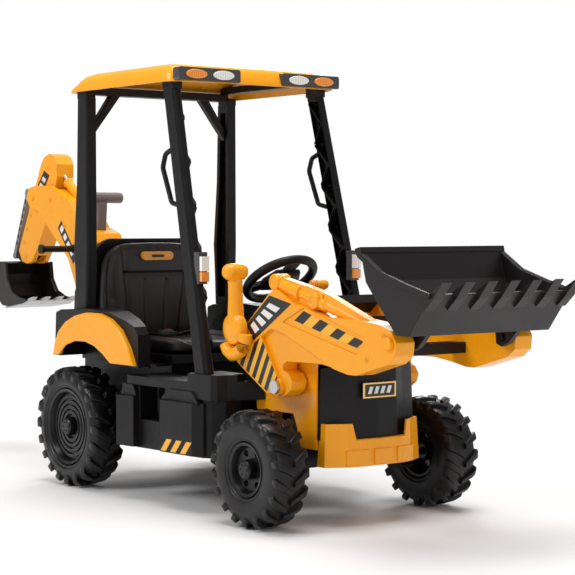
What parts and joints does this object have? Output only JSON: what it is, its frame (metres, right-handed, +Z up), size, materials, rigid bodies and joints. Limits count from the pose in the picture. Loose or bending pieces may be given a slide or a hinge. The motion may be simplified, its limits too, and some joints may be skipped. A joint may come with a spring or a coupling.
{
  "type": "toy backhoe loader",
  "caption": "Ride-on toy backhoe loader with canopy cab, steerable front wheels, lever-worked front loader bucket and a swinging rear digger arm.",
  "frame": {"origin": "on the ground, below the middle of the overall length, on the middle plane", "axes": "+X forward to the front loader, +Y to the rider's left, +Z up"},
  "size_m": [2.09, 0.591, 1.05],
  "materials": {
    "body_yellow": "moulded ABS/PP, satin gloss",
    "black_plastic": "fine moulded texture",
    "bucket_black": "fine moulded texture, slight sheen",
    "tyre_plastic": "hard moulded tyre, satin",
    "rim_plastic": "satin",
    "grey_plastic": "satin",
    "handle_taupe": "satin",
    "lamp_black": "gloss",
    "lens_clear": "moulded lens",
    "lens_amber": "moulded lens",
    "button_red": "gloss",
    "battery_case": "satin",
    "seat_vinyl": "stitched vinyl over foam",
    "webbing": "woven",
    "edge_silver": "silver-grey moulded plastic",
    "steel": "zinc plated"
  },
  "bodies": {
    "chassis": {"chassis_tub": "black_plastic", "battery": "battery_case", "gear_motors": "grey_plastic", "rear_axle": "steel", "front_axle_beam": "black_plastic", "side_body_right": "black_plastic", "side_body_left": "black_plastic", "fender_panel_right": "body_yellow", "fender_panel_left": "body_yellow", "fender_cover_right": "black_plastic", "fender_cover_left": "black_plastic", "seat_shell": "black_plastic", "seat_back_pad": "seat_vinyl", "seat_cushion": "seat_vinyl", "seat_belt": "webbing", "front_pillar_right": "black_plastic", "front_pillar_left": "black_plastic", "rear_pillar_right": "black_plastic", "rear_pillar_left": "black_plastic", "grab_handles": "black_plastic", "lamp_housings": "lamp_black", "lamps_white": "lens_clear", "lamps_amber": "lens_amber", "roof_shell": "body_yellow", "roof_frame": "black_plastic", "bonnet_cowl": "body_yellow", "grille": "black_plastic", "front_bumper": "body_yellow", "dash_console": "black_plastic", "steering_column": "black_plastic", "loader_pins": "steel", "backhoe_mount": "black_plastic"},
    "steering_wheel": {"steering_wheel": "black_plastic"},
    "horn_buttons": {"horn_buttons": "button_red"},
    "accelerator_pedal": {"accelerator_pedal": "black_plastic"},
    "gear_switch": {"gear_switch": "grey_plastic"},
    "knuckle_right": {"knuckle_right": "black_plastic"},
    "knuckle_left": {"knuckle_left": "black_plastic"},
    "front_wheel_right": {"front_tyre_right": "tyre_plastic", "front_rim_right": "rim_plastic"},
    "front_wheel_left": {"front_tyre_left": "tyre_plastic", "front_rim_left": "rim_plastic"},
    "rear_wheel_right": {"rear_tyre_right": "tyre_plastic", "rear_rim_right": "rim_plastic"},
    "rear_wheel_left": {"rear_tyre_left": "tyre_plastic", "rear_rim_left": "rim_plastic"},
    "loader": {"loader_arm_right": "body_yellow", "loader_arm_left": "body_yellow", "arm_crossbars": "black_plastic", "loader_lever": "body_yellow"},
    "loader_bucket": {"loader_bucket": "bucket_black", "bucket_pins": "black_plastic"},
    "kingpost": {"kingpost": "black_plastic"},
    "boom": {"boom": "body_yellow", "tee_handle": "handle_taupe", "grip_peg": "black_plastic"},
    "dipper": {"dipper": "body_yellow"},
    "digger_bucket": {"digger_bucket": "bucket_black", "cutting_edge": "edge_silver"},
    "link_rod": {"link_rod": "grey_plastic"}
  },
  "joints": [
    {"name": "steering_turn", "type": "hinge", "parent": "chassis", "child": "steering_wheel", "pos_m": [0.255, 0, 0.534], "axis": [-0.5736, 0, 0.8192], "range_deg": [-60, 60]},
    {"name": "knuckle_right_turn", "type": "hinge", "parent": "chassis", "child": "knuckle_right", "pos_m": [0.508, -0.17, 0.13], "axis": [0, 0, 1], "range_deg": [-21, 21]},
    {"name": "knuckle_left_turn", "type": "hinge", "parent": "chassis", "child": "knuckle_left", "pos_m": [0.508, 0.17, 0.13], "axis": [0, 0, 1], "range_deg": [-21, 21]},
    {"name": "front_wheel_right_spin", "type": "hinge", "parent": "knuckle_right", "child": "front_wheel_right", "pos_m": [0.508, -0.25, 0.13], "axis": [0, 1, 0], "continuous": true},
    {"name": "front_wheel_left_spin", "type": "hinge", "parent": "knuckle_left", "child": "front_wheel_left", "pos_m": [0.508, 0.25, 0.13], "axis": [0, 1, 0], "continuous": true},
    {"name": "rear_wheel_right_spin", "type": "hinge", "parent": "chassis", "child": "rear_wheel_right", "pos_m": [-0.269, -0.242, 0.152], "axis": [0, 1, 0], "continuous": true},
    {"name": "rear_wheel_left_spin", "type": "hinge", "parent": "chassis", "child": "rear_wheel_left", "pos_m": [-0.269, 0.242, 0.152], "axis": [0, 1, 0], "continuous": true},
    {"name": "horn_press", "type": "slide", "parent": "steering_wheel", "child": "horn_buttons", "axis": [0.5736, 0, -0.8192], "range_m": [0, 0.002], "stiffness_N_per_m": 400, "springref_m": -0.001},
    {"name": "pedal_press", "type": "hinge", "parent": "chassis", "child": "accelerator_pedal", "pos_m": [0.181, -0.095, 0.214], "axis": [0, 1, 0], "range_deg": [0, 12], "stiffness_Nm_per_rad": 1.5, "springref_deg": -14.32},
    {"name": "switch_rock", "type": "hinge", "parent": "chassis", "child": "gear_switch", "pos_m": [0.2835, 0.062, 0.435], "axis": [0, -1, 0], "range_deg": [-8, 8]},
    {"name": "loader_lift", "type": "hinge", "parent": "chassis", "child": "loader", "pos_m": [0.496, 0, 0.305], "axis": [0, -1, 0], "range_deg": [-45, 6]},
    {"name": "bucket_tilt", "type": "hinge", "parent": "loader", "child": "loader_bucket", "pos_m": [0.877, 0, 0.422], "axis": [0, -1, 0], "range_deg": [-50, 18]},
    {"name": "backhoe_swing", "type": "hinge", "parent": "chassis", "child": "kingpost", "pos_m": [-0.579, 0, 0.4], "axis": [0, 0, 1], "range_deg": [-50, 50]},
    {"name": "boom_lift", "type": "hinge", "parent": "kingpost", "child": "boom", "pos_m": [-0.584, 0, 0.465], "axis": [0, -1, 0], "range_deg": [-12, 15]},
    {"name": "dipper_swing", "type": "hinge", "parent": "boom", "child": "dipper", "pos_m": [-0.869, 0, 0.742], "axis": [0, -1, 0], "range_deg": [-12, 20]},
    {"name": "digger_tilt", "type": "hinge", "parent": "dipper", "child": "digger_bucket", "pos_m": [-0.937, 0, 0.574], "axis": [0, -1, 0], "range_deg": [-18, 18]},
    {"name": "link_travel", "type": "slide", "parent": "dipper", "child": "link_rod", "axis": [-0.3927, 0, -0.9197], "range_m": [-0.032, 0.032]}
  ],
  "couplings": [
    {"joint": "knuckle_right_turn", "follows": "steering_turn", "ratio": 0.35},
    {"joint": "knuckle_left_turn", "follows": "steering_turn", "ratio": 0.35},
    {"joint": "link_travel", "follows": "digger_tilt", "m_per_rad": 0.0875}
  ]
}
